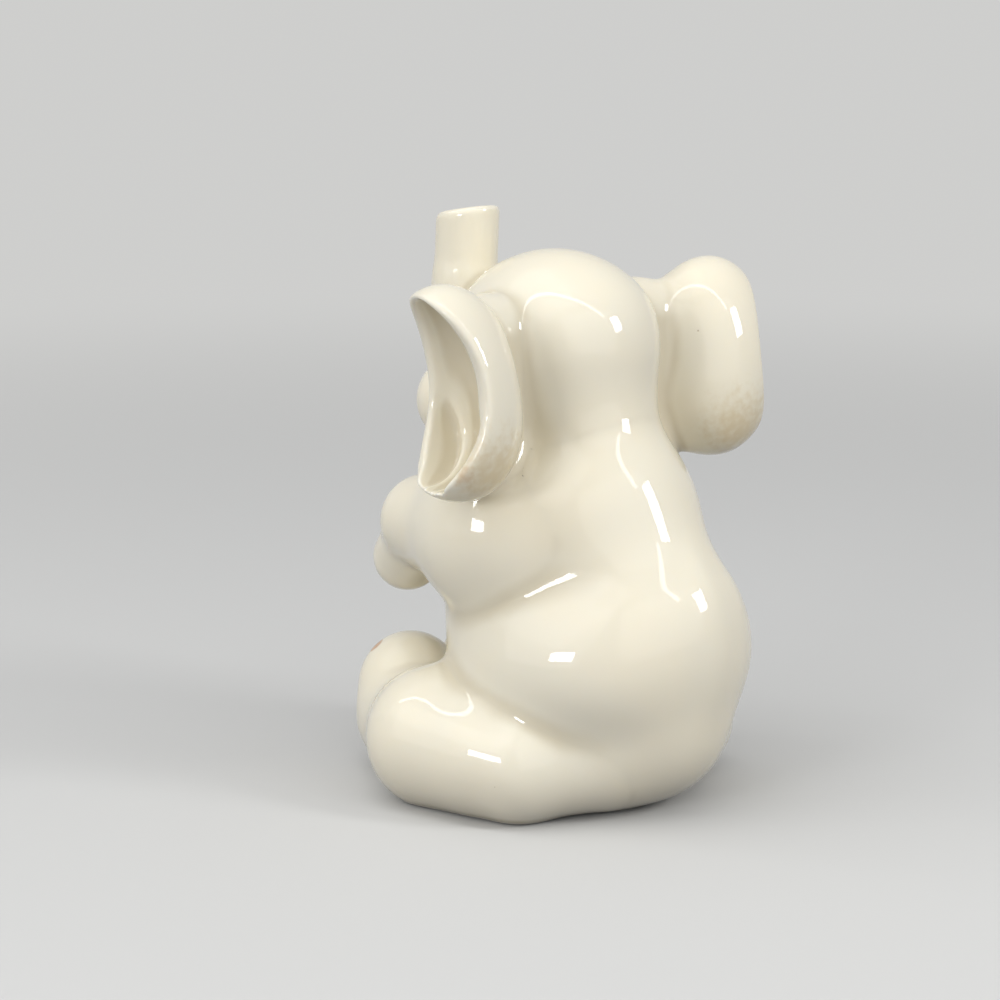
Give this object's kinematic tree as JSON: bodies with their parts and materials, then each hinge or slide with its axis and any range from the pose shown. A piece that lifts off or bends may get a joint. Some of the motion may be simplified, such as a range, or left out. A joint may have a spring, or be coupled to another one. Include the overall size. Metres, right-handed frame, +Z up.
{
  "type": "elephant figurine",
  "caption": "Glazed ivory ceramic figurine of a sitting elephant calf with spread cupped ears, forelegs held out and trunk raised over its brow.",
  "frame": {"origin": "on the flat underside, below the middle of the torso, with the figurine sitting on the plane z = 0", "axes": "+Z up, -Y the way the calf faces, +X to the calf's left"},
  "size_m": [0.067, 0.0667, 0.0899],
  "materials": {
    "ivory_glaze": "glossy ivory glaze over white porcelain, unglazed on the foot"
  },
  "bodies": {
    "root": {"torso": "ivory_glaze", "head": "ivory_glaze", "trunk": "ivory_glaze", "left_ear": "ivory_glaze", "right_ear": "ivory_glaze", "left_foreleg": "ivory_glaze", "right_foreleg": "ivory_glaze", "left_hind_leg": "ivory_glaze", "right_hind_leg": "ivory_glaze"}
  },
  "joints": []
}
